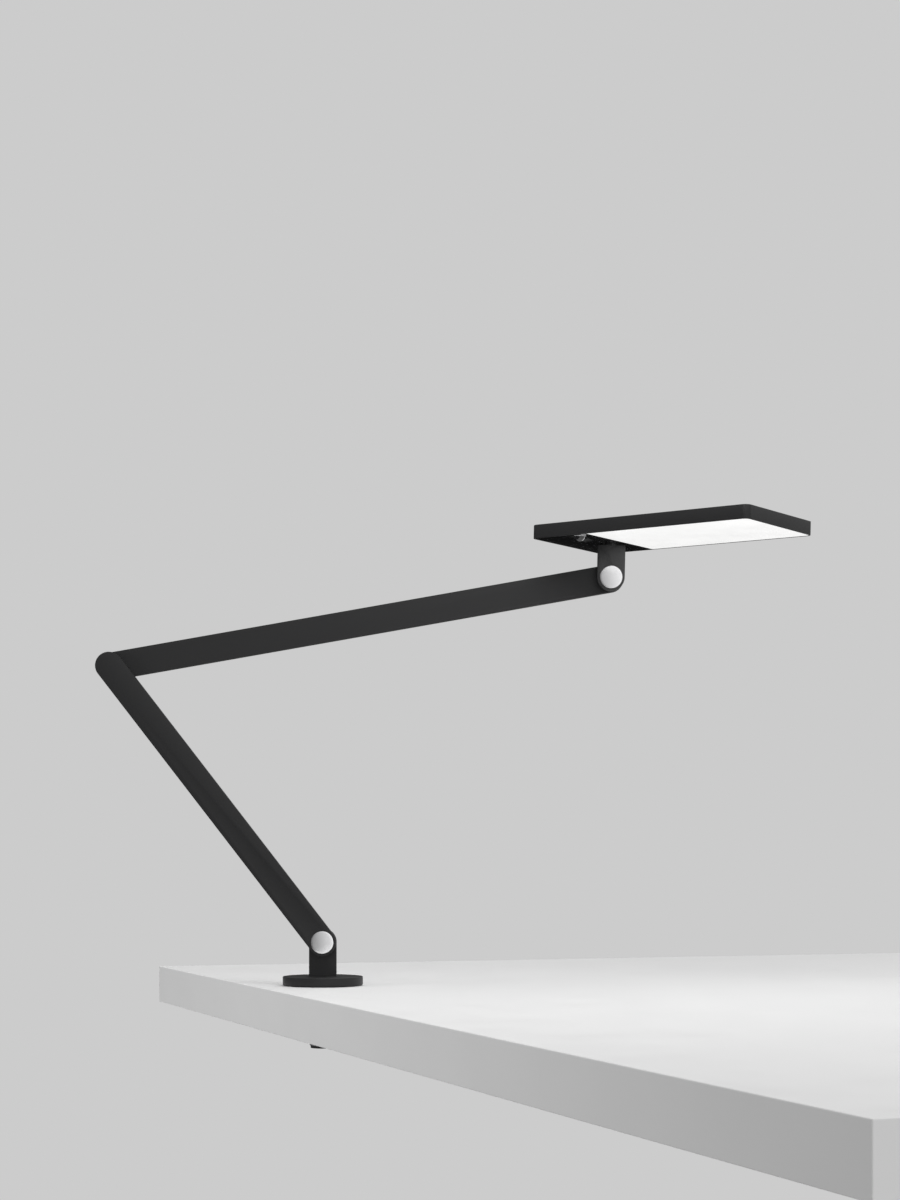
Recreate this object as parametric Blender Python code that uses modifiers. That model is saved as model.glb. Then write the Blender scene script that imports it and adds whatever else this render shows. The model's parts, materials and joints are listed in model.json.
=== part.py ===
"""Architect desk lamp: a flat disc bolted through a desk, two flat hinged arms and a slim turning light panel.

Frame: metres, +Z up. The origin is the centre of the base disc's underside, on the desk. +X points from
the base towards the light panel, and -Y is the side of the polished joint caps.
"""

import math

import bmesh
import bpy
from mathutils import Matrix, Vector

MM = 0.001
GAP = 0.3 * MM  # clearance between pieces that touch on the real lamp

# ---- driving dimensions ---------------------------------------------------------------------------
LOWER_ARM = 333 * MM  # pivot to pivot
UPPER_ARM = 485.7 * MM
LOWER_LEAN = math.radians(37.6)  # lower arm, left of upright
UPPER_RISE = math.radians(9.98)  # upper arm, above level
HEAD_TILT = math.radians(1.4)
HEAD_TURN = math.radians(-38.9)

STRAP_WIDTH = 26 * MM
STRAP_THICK = 8.4 * MM
STRAP_GAP = 0.5 * MM  # between the two layers of straps
STRAP_EDGE = 0.5 * MM

BASE_RADIUS = 38.35 * MM
BASE_TOP = 8.6 * MM
BASE_LIP = 0.4 * MM  # the disc's rim stays this far above the desk
SHOULDER_HEIGHT = 41.4 * MM
DESK_THICK = 40 * MM
STUD_RADIUS = 12.7 * MM
STUD_BORE = 10 * MM

HEAD_LENGTH = 235 * MM
HEAD_WIDTH = 115 * MM
HEAD_HEIGHT = 12.8 * MM
HEAD_WALL = 1.3 * MM
HEAD_ROOF = 1.5 * MM
HEAD_CORNER = 6 * MM
HEAD_LIFT = 30.7 * MM  # wrist pivot to the panel's underside
SWIVEL_INSET = 42.1 * MM  # swivel axis to the short end beside it
SWIVEL_SIDE = 43 * MM  # swivel axis to the far long edge
CONTROL_LENGTH = 61.1 * MM
BUTTON_PLACE = (6.5 * MM, -61.5 * MM)
BUTTON_RADIUS = 5.2 * MM
BUTTON_HEIGHT = 5.2 * MM  # below the panel

# ---- derived values -------------------------------------------------------------------------------
HALF_STRAP = STRAP_WIDTH / 2
REAR_LAYER = (-STRAP_THICK / 2, STRAP_THICK / 2)  # base ear and upper arm, along Y
FRONT_LAYER = (REAR_LAYER[0] - STRAP_GAP - STRAP_THICK, REAR_LAYER[0] - STRAP_GAP)
LAYER_MIDDLE = (FRONT_LAYER[0] + FRONT_LAYER[1]) / 2  # along Y, where the lower arm and head ear lie

PIVOT_SHAFT = 4.0 * MM
PIVOT_BORE = PIVOT_SHAFT + GAP
CAP_RADIUS = 10.75 * MM
CAP_THICK = 1.3 * MM
WASHER_RADIUS = 9.0 * MM
WASHER_THICK = 1.1 * MM
NUT_POCKET_RADIUS = 8.5 * MM
NUT_POCKET_DEPTH = 4.6 * MM
BOLT_HEAD_RADIUS = 7.0 * MM
BOLT_HEAD_POCKET = 3.4 * MM

FINE = 60  # sides of a round piece that shows
MEDIUM = 32  # sides of a round piece that shows little
COARSE = 20  # sides of a round piece inside
ROUND_END = 18  # steps round a strap's half-round end


# ---- scene, collections and materials ---------------------------------------------------------------
for old in list(bpy.data.objects):
    bpy.data.objects.remove(old, do_unlink=True)

lamp = bpy.data.collections.new("architect_desk_lamp")
cutters = bpy.data.collections.new("cutters")
bpy.context.scene.collection.children.link(lamp)
bpy.context.scene.collection.children.link(cutters)


def finish(name, colour, roughness, metallic=0.0):
    """A Principled material of one colour."""
    material = bpy.data.materials.new(name)
    material.use_nodes = True
    shader = material.node_tree.nodes["Principled BSDF"]
    shader.inputs["Base Color"].default_value = (*colour, 1)
    shader.inputs["Roughness"].default_value = roughness
    shader.inputs["Metallic"].default_value = metallic
    material.diffuse_color = (*colour, 1)
    return material


BLACK_PAINT = finish("black_paint", (0.026, 0.026, 0.027), 0.5)
GLOSS_BLACK = finish("gloss_black", (0.006, 0.006, 0.007), 0.1)
POLISHED = finish("polished_aluminium", (0.8, 0.8, 0.8), 0.25, 1.0)
CHROME = finish("chrome", (0.85, 0.85, 0.86), 0.08, 1.0)
STEEL = finish("zinc_steel", (0.55, 0.56, 0.58), 0.35, 1.0)
DARK_STEEL = finish("blackened_steel", (0.05, 0.05, 0.055), 0.4, 0.9)
RUBBER = finish("black_rubber", (0.015, 0.015, 0.015), 0.8)
NYLON = finish("white_nylon", (0.75, 0.74, 0.7), 0.5)
OPAL = finish("opal_acrylic", (0.93, 0.93, 0.92), 0.3)
CLEAR = finish("clear_acrylic", (0.9, 0.92, 0.93), 0.05)
WHITE_FILM = finish("white_film", (0.92, 0.92, 0.92), 0.6)
BARE_ALUMINIUM = finish("bare_aluminium", (0.7, 0.71, 0.72), 0.35, 1.0)
CIRCUIT = finish("circuit_board", (0.02, 0.12, 0.05), 0.45)
CABLE_JACKET = finish("cable_jacket", (0.02, 0.02, 0.02), 0.55)


# ---- joint frames: one empty per moving piece, on its joint's axis ----------------------------------
def joint_frame(name, parent, location, rotation=(0, 0, 0)):
    empty = bpy.data.objects.new(name, None)
    empty.empty_display_size = 0.02
    lamp.objects.link(empty)
    empty.parent = parent
    empty.location = location
    empty.rotation_euler = rotation
    return empty


base_frame = joint_frame("base_frame", None, (0, 0, 0))
turn_frame = joint_frame("turn_frame", base_frame, (0, 0, 0))
# Each arm's own +X runs along it, so that both arms are drawn lying level.
lower_frame = joint_frame(
    "lower_frame", turn_frame, (0, 0, SHOULDER_HEIGHT), (0, -(math.pi / 2 + LOWER_LEAN), 0)
)
upper_frame = joint_frame(
    "upper_frame", lower_frame, (LOWER_ARM, 0, 0), (0, math.pi / 2 + LOWER_LEAN - UPPER_RISE, 0)
)
wrist_frame = joint_frame(
    "wrist_frame", upper_frame, (UPPER_ARM, 0, 0), (0, UPPER_RISE + HEAD_TILT, 0)
)
head_frame = joint_frame(
    "head_frame", wrist_frame, (0, LAYER_MIDDLE, HEAD_LIFT), (0, 0, HEAD_TURN)
)
button_frame = joint_frame("button_frame", head_frame, (*BUTTON_PLACE, 0))


# ---- modelling helpers ------------------------------------------------------------------------------
TO_Y = Matrix.Rotation(math.pi / 2, 4, "X")  # takes +Z to -Y, for pieces on a pivot


def place(name, mesh, frame, material=None):
    """Puts a mesh in the lamp, or among the cutters where it has no material."""
    piece = bpy.data.objects.new(name, mesh)
    piece.parent = frame
    if material is None:
        piece.hide_render = True
        piece.display_type = "WIRE"
        cutters.objects.link(piece)
    else:
        mesh.materials.append(material)
        lamp.objects.link(piece)
    return piece


def flat_outline(name, points, low, high, frame, material=None, upright=False, edge=0.0):
    """A closed outline in the frame's XY plane, or its XZ plane if upright, made solid between two heights."""
    curve = bpy.data.curves.new(name, "CURVE")
    curve.dimensions = "2D"
    curve.fill_mode = "BOTH"
    curve.extrude = (high - low) / 2
    spline = curve.splines.new("POLY")
    spline.points.add(len(points) - 1)
    for point, (x, y) in zip(spline.points, points):
        point.co = (x, y, 0, 1)
    spline.use_cyclic_u = True
    guide = bpy.data.objects.new(name + "_outline", curve)
    lamp.objects.link(guide)
    graph = bpy.context.evaluated_depsgraph_get()
    mesh = bpy.data.meshes.new_from_object(guide.evaluated_get(graph))
    bpy.data.objects.remove(guide)
    shape = bmesh.new()
    shape.from_mesh(mesh)
    bmesh.ops.remove_doubles(shape, verts=shape.verts, dist=1e-6)
    bmesh.ops.dissolve_limit(shape, angle_limit=0.001, verts=shape.verts, edges=shape.edges)
    middle = Matrix.Translation((0, 0, (high + low) / 2))
    if upright:
        # The outline's own Z becomes -Y, so its middle goes to minus the middle along Y.
        middle = TO_Y @ Matrix.Translation((0, 0, -(high + low) / 2))
    bmesh.ops.transform(shape, matrix=middle, verts=shape.verts)
    bmesh.ops.recalc_face_normals(shape, faces=shape.faces)
    shape.to_mesh(mesh)
    shape.free()
    mesh.name = name
    piece = place(name, mesh, frame, material)
    if edge:
        bevel = piece.modifiers.new("edge", "BEVEL")
        bevel.width = edge
        bevel.segments = 1
        bevel.limit_method = "ANGLE"
        bevel.angle_limit = math.radians(60)
    return piece


def turned(name, profile, frame, material=None, sides=COARSE, along_y=False):
    """A profile of (radius, height) points, listed down the outer side, turned about the axis."""
    mesh = bpy.data.meshes.new(name)
    count = len(profile)
    closed = all(radius > 0 for radius, _ in profile)
    links = [(i, i + 1) for i in range(count - 1)]
    if closed:
        links.append((count - 1, 0))
    mesh.from_pydata([(radius, 0, height) for radius, height in profile], links, [])
    piece = place(name, mesh, frame, material)
    if along_y:
        piece.matrix_basis = TO_Y
    screw = piece.modifiers.new("turn", "SCREW")
    screw.steps = sides
    screw.render_steps = sides
    screw.use_merge_vertices = True
    screw.merge_threshold = 1e-5
    screw.use_smooth_shade = True
    return piece


def ring(name, outer, inner, low, high, frame, material=None, sides=COARSE, along_y=False, edge=0.0):
    """A washer, bush or plain disc (inner 0) between two heights, with its outer edges broken by edge."""
    profile = [(outer - edge, high), (outer, high - edge), (outer, low + edge), (outer - edge, low)]
    if not edge:
        profile = [(outer, high), (outer, low)]
    profile += [(inner, low)]
    profile = [(inner, high)] + profile
    return turned(name, profile, frame, material, sides, along_y)


def drill(name, radius, low, high, frame, centre=(0, 0), along_y=False, sides=COARSE):
    """A cylinder to cut with, along the frame's Z, or its -Y."""
    mesh = bpy.data.meshes.new(name)
    shape = bmesh.new()
    bmesh.ops.create_cone(
        shape, cap_ends=True, segments=sides, radius1=radius, radius2=radius, depth=high - low
    )
    where = Matrix.Translation((*centre, (high + low) / 2))
    if along_y:
        where = Matrix.Translation((centre[0], 0, centre[1])) @ TO_Y @ Matrix.Translation(
            (0, 0, (high + low) / 2)
        )
    bmesh.ops.transform(shape, matrix=where, verts=shape.verts)
    shape.to_mesh(mesh)
    shape.free()
    return place(name, mesh, frame)


def box(name, low, high, frame, material=None):
    mesh = bpy.data.meshes.new(name)
    shape = bmesh.new()
    size = Vector(high) - Vector(low)
    middle = (Vector(high) + Vector(low)) / 2
    bmesh.ops.create_cube(shape, size=1, matrix=Matrix.Translation(middle) @ Matrix.Diagonal((*size, 1)))
    shape.to_mesh(mesh)
    shape.free()
    return place(name, mesh, frame, material)


def boolean(piece, other, operation="DIFFERENCE"):
    modifier = piece.modifiers.new(other.name, "BOOLEAN")
    modifier.operation = operation
    modifier.object = other
    return piece


def arc(centre, radius, start, end, steps):
    """Points along an arc, in degrees."""
    return [
        (
            centre[0] + radius * math.cos(math.radians(start + (end - start) * i / steps)),
            centre[1] + radius * math.sin(math.radians(start + (end - start) * i / steps)),
        )
        for i in range(steps + 1)
    ]


def rounded_rectangle(low, high, radii, steps=6):
    """Corner radii are listed from the low corner, anticlockwise."""
    corners = [(low[0], low[1], 180), (high[0], low[1], 270), (high[0], high[1], 0), (low[0], high[1], 90)]
    points = []
    for (x, y, start), radius in zip(corners, radii):
        if not radius:
            points.append((x, y))
            continue
        towards_x = radius if x == low[0] else -radius
        towards_y = radius if y == low[1] else -radius
        points += arc((x + towards_x, y + towards_y), radius, start, start + 90, steps)
    return points


def strap_outline(length):
    """A flat bar with two half-round ends, its pivots at 0 and at length."""
    ends = arc((0, 0), HALF_STRAP, 90, 270, ROUND_END)
    return ends + arc((length, 0), HALF_STRAP, -90, 90, ROUND_END)


def hex_nut(name, corner_radius, bore, low, high, frame, material, along_y=False):
    """A nut between two heights along the frame's Z, or its -Y."""
    corners = arc((0, 0), corner_radius, 0, 300, 5)
    span = (-high, -low) if along_y else (low, high)
    nut = flat_outline(name, corners, *span, frame, material, upright=along_y)
    return boolean(nut, drill(name + "_bore", bore, low - MM, high + MM, frame, along_y=along_y))


def screw_profile(head_low, tip, head_radius, shaft_radius, head_thick=0.6 * MM):
    """A screw that points up, its flat head at the bottom."""
    return [
        (0, tip),
        (shaft_radius, tip),
        (shaft_radius, head_low + head_thick),
        (head_radius, head_low + head_thick),
        (head_radius, head_low),
        (0, head_low),
    ]


# ---- base: disc, pad, threaded stud and clamp under the desk ----------------------------------------
TURNTABLE_RADIUS = 13.2 * MM
TURNTABLE_LOW = 6.7 * MM
BUSH_LOW = TURNTABLE_LOW - GAP - 0.8 * MM
DISC_WEB_TOP = BUSH_LOW - GAP
DISC_WEB_LOW = 3.0 * MM
SPINDLE_RADIUS = 5.9 * MM
SPINDLE_BORE = 3.5 * MM
BUSH_WALL = 1.3 * MM
FLANGE_RADIUS = 20.7 * MM
PAD_RADIUS = 35.2 * MM
PAD_THICK = 1.2 * MM
SCREW_CIRCLE = 16.7 * MM
CLAMP_RADIUS = 25 * MM
CLAMP_PAD_THICK = 1.5 * MM
CLAMP_WASHER_THICK = 3 * MM
CLAMP_NUT_THICK = 6 * MM
STUD_END = -58 * MM


def base_pieces():
    disc_bore = SPINDLE_RADIUS + 2 * GAP + BUSH_WALL + GAP
    recess = TURNTABLE_RADIUS + GAP
    edge = 0.7 * MM
    turned(
        "base_disc",
        [
            (recess, BASE_TOP),
            (BASE_RADIUS - edge, BASE_TOP),
            (BASE_RADIUS, BASE_TOP - edge),
            (BASE_RADIUS, BASE_LIP + edge),
            (BASE_RADIUS - edge, BASE_LIP),
            (PAD_RADIUS + GAP, BASE_LIP),
            (PAD_RADIUS + GAP, PAD_THICK + GAP),
            (FLANGE_RADIUS + GAP, PAD_THICK + GAP),
            (FLANGE_RADIUS + GAP, DISC_WEB_LOW),
            (disc_bore, DISC_WEB_LOW),
            (disc_bore, DISC_WEB_TOP),
            (recess, DISC_WEB_TOP),
        ],
        base_frame,
        BLACK_PAINT,
        FINE,
    )
    ring("base_pad", PAD_RADIUS, FLANGE_RADIUS + GAP, 0, PAD_THICK, base_frame, RUBBER, FINE)
    bush_inner = SPINDLE_RADIUS + GAP
    bush_outer = bush_inner + BUSH_WALL
    turned(
        "base_bush",
        [
            (bush_inner, BUSH_LOW + 0.8 * MM),
            (TURNTABLE_RADIUS, BUSH_LOW + 0.8 * MM),
            (TURNTABLE_RADIUS, BUSH_LOW),
            (bush_outer, BUSH_LOW),
            (bush_outer, DISC_WEB_LOW),
            (bush_inner, DISC_WEB_LOW),
        ],
        base_frame,
        NYLON,
    )
    flange_top = DISC_WEB_LOW - GAP
    flange_low = PAD_THICK - 0.7 * MM
    stud = turned(
        "desk_stud",
        [
            (STUD_BORE, flange_top),
            (FLANGE_RADIUS, flange_top),
            (FLANGE_RADIUS, flange_low),
            (STUD_RADIUS, flange_low),
            (STUD_RADIUS, STUD_END + 1 * MM),
            (STUD_RADIUS - 1 * MM, STUD_END),
            (STUD_BORE, STUD_END),
        ],
        base_frame,
        STEEL,
        MEDIUM,
    )
    disc = bpy.data.objects["base_disc"]
    for i in range(3):
        turn = math.radians(90 + 120 * i)
        centre = (SCREW_CIRCLE * math.cos(turn), SCREW_CIRCLE * math.sin(turn))
        number = str(i + 1)
        boolean(stud, drill("flange_hole_" + number, 1.5 * MM, 0, 4 * MM, base_frame, centre, sides=16))
        boolean(stud, drill("flange_sink_" + number, 2.7 * MM, 0, 1.6 * MM, base_frame, centre, sides=16))
        boolean(disc, drill("disc_thread_" + number, 1.5 * MM, 2 * MM, 7 * MM, base_frame, centre, sides=16))
        screw = turned("stud_screw_" + number, screw_profile(0.7 * MM, 6.7 * MM, 2.4 * MM, 1.2 * MM),
                       base_frame, STEEL, 16)
        screw.location = (*centre, 0)
    desk_low = -DESK_THICK - GAP
    pad_low = desk_low - CLAMP_PAD_THICK
    washer_low = pad_low - GAP - CLAMP_WASHER_THICK
    nut_low = washer_low - GAP - CLAMP_NUT_THICK
    hole = STUD_RADIUS + GAP
    ring("clamp_pad", CLAMP_RADIUS, hole, pad_low, desk_low, base_frame, RUBBER, MEDIUM)
    ring("clamp_washer", CLAMP_RADIUS, hole, washer_low, pad_low - GAP, base_frame, STEEL, MEDIUM, edge=0.5 * MM)
    hex_nut("clamp_nut", 19 * MM, hole, nut_low, washer_low - GAP, base_frame, STEEL)
    turned(
        "stud_grommet",
        [
            (4 * MM, STUD_END + 5 * MM),
            (STUD_BORE - GAP, STUD_END + 5 * MM),
            (STUD_BORE - GAP, STUD_END - GAP),
            (STUD_RADIUS - 1 * MM, STUD_END - GAP),
            (STUD_RADIUS - 1 * MM, STUD_END - 1.8 * MM),
            (4 * MM, STUD_END - 1.8 * MM),
        ],
        base_frame,
        RUBBER,
    )


# ---- pivots ---------------------------------------------------------------------------------------
# Heights along a pivot are counted along -Y from the middle of the rear strap (base ear or upper arm).
REAR_FACE = -STRAP_THICK / 2
REAR_INNER = STRAP_THICK / 2
FRONT_INNER = REAR_INNER + STRAP_GAP
FRONT_FACE = FRONT_INNER + STRAP_THICK
WASHER_RECESS = 1.2 * MM


def stack(name, outer, inner, low, high, frame, x, material, sides=COARSE, edge=0.0):
    """A ring on a pivot that lies x along the frame's +X."""
    piece = ring(name, outer, inner, low, high, frame, material, sides, along_y=True, edge=edge)
    piece.location = (x, 0, 0)
    return piece


def pivot_drill(piece, radius, low, high, frame, x):
    count = len(piece.modifiers)
    cutter = drill(f"{piece.name}_cut_{count}", radius, low, high, frame, (x, 0), along_y=True, sides=MEDIUM)
    return boolean(piece, cutter)


def friction_washer(joint, frame, x):
    low = REAR_INNER - WASHER_RECESS + GAP
    stack(joint + "_friction_washer", WASHER_RADIUS, PIVOT_BORE, low, low + WASHER_THICK - 0.2 * MM, frame, x, NYLON)


def spring_and_nut(joint, frame, x, floor, outward):
    """A disc spring and a nut that press on the floor of a strap's pocket, stacked outward (+1 or -1)."""
    spring = sorted((floor + outward * GAP, floor + outward * 1.3 * MM))
    nut = sorted((floor + outward * 1.6 * MM, floor + outward * 3.6 * MM))
    stack(joint + "_disc_spring", BOLT_HEAD_RADIUS, PIVOT_BORE, *spring, frame, x, DARK_STEEL)
    piece = hex_nut(joint + "_nut", 6.6 * MM, PIVOT_BORE, *nut, frame, STEEL, along_y=True)
    piece.location = (x, 0, 0)
    for modifier in piece.modifiers:
        modifier.object.location = (x, 0, 0)


def cap(joint, frame, x, face, outward):
    """A polished disc with a plug behind it, on a strap's outer face."""
    inner = face + outward * GAP
    edge = 0.35 * MM
    profile = [
        (0, inner + outward * CAP_THICK),
        (CAP_RADIUS - edge, inner + outward * CAP_THICK),
        (CAP_RADIUS, inner + outward * (CAP_THICK - edge)),
        (CAP_RADIUS, inner),
        (NUT_POCKET_RADIUS - GAP, inner),
        (NUT_POCKET_RADIUS - GAP, inner - outward * 1.0 * MM),
        (0, inner - outward * 1.0 * MM),
    ]
    if outward < 0:
        profile.reverse()
    piece = turned(joint + "_cap", profile, frame, POLISHED, FINE, along_y=True)
    piece.location = (x, 0, 0)


def through_pivot(joint, rear, rear_frame, rear_x, front, front_frame):
    """A hinge whose bolt enters from behind, with its nut under a cap on the front strap."""
    head_floor = REAR_FACE + BOLT_HEAD_POCKET
    nut_floor = FRONT_FACE - NUT_POCKET_DEPTH
    pivot_drill(rear, PIVOT_BORE, REAR_FACE - MM, REAR_INNER + MM, rear_frame, rear_x)
    pivot_drill(rear, BOLT_HEAD_RADIUS + GAP, REAR_FACE - MM, head_floor, rear_frame, rear_x)
    pivot_drill(rear, WASHER_RADIUS + GAP, REAR_INNER - WASHER_RECESS, REAR_INNER + MM, rear_frame, rear_x)
    pivot_drill(front, PIVOT_BORE, FRONT_INNER - MM, FRONT_FACE + MM, front_frame, 0)
    pivot_drill(front, NUT_POCKET_RADIUS, nut_floor, FRONT_FACE + MM, front_frame, 0)
    head_low = REAR_FACE + 0.1 * MM
    bolt = turned(
        joint + "_bolt",
        [
            (0, nut_floor + 3.5 * MM),
            (PIVOT_SHAFT, nut_floor + 3.5 * MM),
            (PIVOT_SHAFT, head_floor - GAP),
            (BOLT_HEAD_RADIUS, head_floor - GAP),
            (BOLT_HEAD_RADIUS, head_low),
            (0, head_low),
        ],
        rear_frame,
        DARK_STEEL,
        along_y=True,
    )
    bolt.location = (rear_x, 0, 0)
    socket = flat_outline(
        joint + "_hex_socket", arc((rear_x, 0), 2.9 * MM, 0, 300, 5), -head_low - 1.8 * MM, -head_low + MM,
        rear_frame, upright=True,
    )
    boolean(bolt, socket)
    friction_washer(joint, rear_frame, rear_x)
    spring_and_nut(joint, rear_frame, rear_x, nut_floor, 1)
    cap(joint, front_frame, 0, FRONT_FACE, 1)


def blind_pivot(joint, rear, rear_frame, front, front_frame, front_x):
    """A hinge whose flanged stud is held in the front strap, with its nut under a cap behind."""
    nut_floor = REAR_FACE + NUT_POCKET_DEPTH
    pocket_depth = 5.5 * MM
    pocket_floor = FRONT_INNER + pocket_depth
    flange_low = pocket_floor - GAP - 2.3 * MM
    pivot_drill(rear, PIVOT_BORE, REAR_FACE - MM, REAR_INNER + MM, rear_frame, 0)
    pivot_drill(rear, NUT_POCKET_RADIUS, REAR_FACE - MM, nut_floor, rear_frame, 0)
    pivot_drill(rear, WASHER_RADIUS + GAP, REAR_INNER - WASHER_RECESS, REAR_INNER + MM, rear_frame, 0)
    pivot_drill(front, WASHER_RADIUS + GAP, FRONT_INNER - MM, pocket_floor, front_frame, front_x)
    stud = turned(
        joint + "_stud",
        [
            (0, pocket_floor - GAP),
            (WASHER_RADIUS, pocket_floor - GAP),
            (WASHER_RADIUS, flange_low),
            (PIVOT_SHAFT, flange_low),
            (PIVOT_SHAFT, nut_floor - 3.5 * MM),
            (0, nut_floor - 3.5 * MM),
        ],
        front_frame,
        DARK_STEEL,
        along_y=True,
    )
    stud.location = (front_x, 0, 0)
    ring_low = FRONT_INNER + 0.2 * MM
    stack(joint + "_retaining_ring", WASHER_RADIUS, PIVOT_BORE, ring_low, flange_low - GAP,
          front_frame, front_x, STEEL)
    friction_washer(joint, rear_frame, 0)
    spring_and_nut(joint, front_frame, front_x, nut_floor, -1)
    cap(joint, rear_frame, 0, REAR_FACE, -1)


# ---- straps: base ear, arms and head ear ------------------------------------------------------------
CHANNEL_WIDTH = 8 * MM
CHANNEL_DEPTH = 4.3 * MM
COVER_WIDTH = 12 * MM
COVER_THICK = 1.0 * MM
COVER_INSET = 24 * MM  # from each pivot to the cover's end
CABLE_RADIUS = 1.2 * MM


def arm(name, length, layer, frame):
    """A flat bar with a cable channel in its rear face, the channel's cover and the cable."""
    bar = flat_outline(name, strap_outline(length), *layer, frame, BLACK_PAINT, upright=True, edge=STRAP_EDGE)
    rear = layer[1]
    channel = box(
        name + "_channel",
        (COVER_INSET + 2 * MM, rear - CHANNEL_DEPTH, -CHANNEL_WIDTH / 2),
        (length - COVER_INSET - 2 * MM, rear + MM, CHANNEL_WIDTH / 2),
        frame,
    )
    rebate = box(
        name + "_rebate",
        (COVER_INSET - GAP, rear - COVER_THICK - GAP, -COVER_WIDTH / 2 - GAP),
        (length - COVER_INSET + GAP, rear + MM, COVER_WIDTH / 2 + GAP),
        frame,
    )
    boolean(bar, channel)
    boolean(bar, rebate)
    box(
        name + "_cover",
        (COVER_INSET, rear - COVER_THICK, -COVER_WIDTH / 2),
        (length - COVER_INSET, rear, COVER_WIDTH / 2),
        frame,
        BLACK_PAINT,
    )
    depth = rear - CHANNEL_DEPTH + GAP + CABLE_RADIUS
    ends = [(COVER_INSET + 3 * MM, depth, 0), (length - COVER_INSET - 3 * MM, depth, 0)]
    cable(name + "_cable", ends, frame)
    return bar


def cable(name, points, frame):
    """A round cable with closed ends."""
    curve = bpy.data.curves.new(name, "CURVE")
    curve.dimensions = "3D"
    curve.bevel_depth = CABLE_RADIUS
    curve.bevel_resolution = 2
    curve.use_fill_caps = True
    curve.materials.append(CABLE_JACKET)
    spline = curve.splines.new("POLY")
    spline.points.add(len(points) - 1)
    for point, place_at in zip(spline.points, points):
        point.co = (*place_at, 1)
    piece = bpy.data.objects.new(name, curve)
    piece.parent = frame
    lamp.objects.link(piece)


def ear_outline(foot, flare):
    """An upright strap with a round end at the pivot and a small flare at its foot, foot below the pivot."""
    top = arc((0, 0), HALF_STRAP, 0, 180, ROUND_END)
    if not flare:
        return top + [(-HALF_STRAP, foot), (HALF_STRAP, foot)]
    left = arc((-HALF_STRAP - flare, foot + flare), flare, 0, -90, 4)
    right = arc((HALF_STRAP + flare, foot + flare), flare, -90, -180, 4)
    return top + left + right


def base_ear():
    """The upright ear, its round foot and the hollow spindle it turns on, welded into one piece."""
    foot = BASE_TOP + GAP - SHOULDER_HEIGHT
    ear = flat_outline("base_ear", ear_outline(foot - GAP, 0.9 * MM), *REAR_LAYER, shoulder_frame,
                       BLACK_PAINT, upright=True, edge=STRAP_EDGE)
    spindle_end = -3 * MM
    table_top = BASE_TOP + 0.2 * MM
    spindle = turned(
        "spindle_weld",
        [
            (SPINDLE_BORE, table_top),
            (TURNTABLE_RADIUS, table_top),
            (TURNTABLE_RADIUS, TURNTABLE_LOW),
            (SPINDLE_RADIUS, TURNTABLE_LOW),
            (SPINDLE_RADIUS, spindle_end),
            (SPINDLE_BORE, spindle_end),
        ],
        turn_frame,
        sides=MEDIUM,
    )
    boolean(ear, spindle, "UNION")
    ring("base_wave_washer", 9.4 * MM, SPINDLE_RADIUS + GAP, DISC_WEB_LOW - 1.1 * MM, DISC_WEB_LOW - GAP,
         turn_frame, DARK_STEEL)
    hex_nut("base_lock_nut", 9.4 * MM, SPINDLE_RADIUS + GAP, -2.6 * MM, DISC_WEB_LOW - 1.4 * MM,
            turn_frame, STEEL)
    return ear


# ---- head: ear, swivel, tray, light engine, controls ------------------------------------------------
EAR_TOP = -GAP
SWIVEL_RADIUS = 6 * MM
SWIVEL_BORE = 3 * MM
SWIVEL_END = 10 * MM
BRACKET = (4.3 * MM, 5.8 * MM)
BRACKET_BOLTS = ((-18 * MM, -26 * MM), (6 * MM, -26 * MM), (6 * MM, 26 * MM), (-18 * MM, 26 * MM))
PANEL = (0.3 * MM, 2.3 * MM)
GUIDE = (2.6 * MM, 5.6 * MM)
FILM = (5.9 * MM, 6.4 * MM)
SPREADER = (6.7 * MM, 8.2 * MM)


def head_ear():
    """The ear that hangs from the panel's swivel, and its hollow spindle, welded into one piece."""
    outline = [(x, -y) for x, y in ear_outline(-(HEAD_LIFT + EAR_TOP), 0)]
    ear = flat_outline("head_ear", outline, *FRONT_LAYER, wrist_frame, BLACK_PAINT, upright=True, edge=STRAP_EDGE)
    spindle = ring("head_spindle_weld", SWIVEL_RADIUS, SWIVEL_BORE, EAR_TOP - 0.3 * MM, SWIVEL_END,
                   head_frame, sides=COARSE)
    return ear, spindle


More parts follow.
